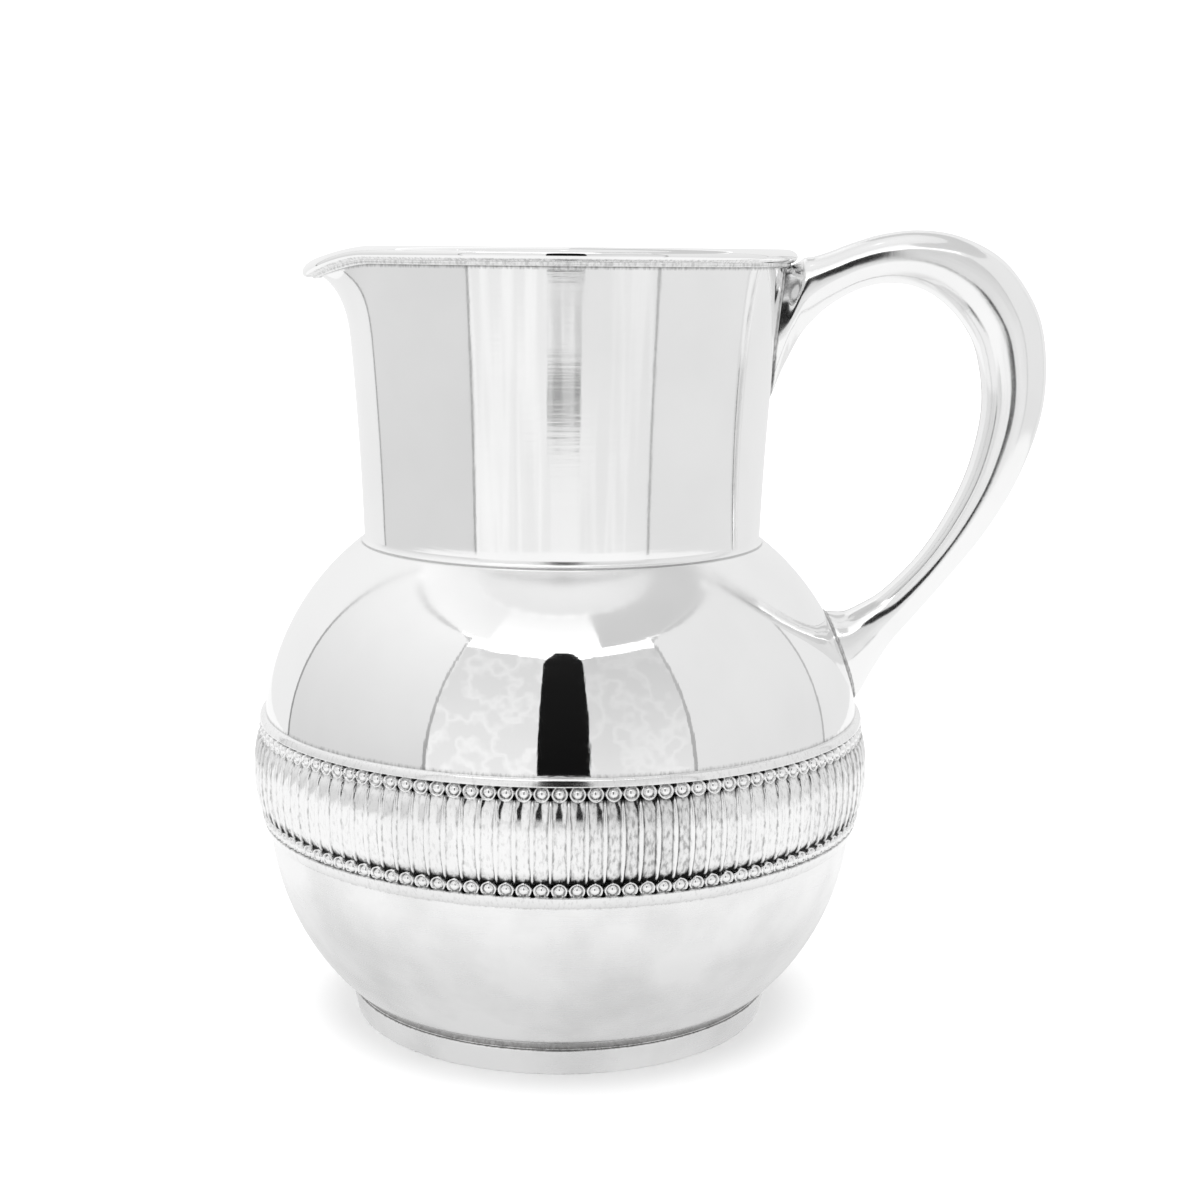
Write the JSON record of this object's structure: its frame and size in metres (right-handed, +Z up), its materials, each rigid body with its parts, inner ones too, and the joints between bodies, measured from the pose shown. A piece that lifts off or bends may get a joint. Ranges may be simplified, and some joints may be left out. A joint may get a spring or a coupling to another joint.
{
  "type": "water pitcher",
  "caption": "Round-bellied silver water pitcher on a ring foot, with a fluted and beaded band, a flared neck drawn into a pouring lip, a rolled rim and a high loop handle.",
  "frame": {"origin": "centre of the plane that the foot ring stands on, on the pitcher's own axis", "axes": "+Z up, +X towards the handle with the pouring lip at -X, +Y across the pitcher, away from the side that shows the handle on the right"},
  "size_m": [0.2027, 0.1596, 0.2029],
  "materials": {
    "polished_silver": "polished silver with fine wipe scratches",
    "worn_silver": "polished silver worn to a mottled satin",
    "tarnished_silver": "polished silver on the crests, dark tarnish in the recesses"
  },
  "bodies": {
    "root": {"foot_ring": "worn_silver", "foot_collar": "worn_silver", "lower_bowl": "worn_silver", "shoulder": "polished_silver", "neck": "polished_silver", "rim_wire": "polished_silver", "fluted_band": "tarnished_silver", "upper_bead_border": "tarnished_silver", "lower_bead_border": "tarnished_silver", "handle_near_half": "polished_silver", "handle_far_half": "polished_silver", "upper_handle_patch": "polished_silver", "lower_handle_patch": "polished_silver"}
  },
  "joints": []
}
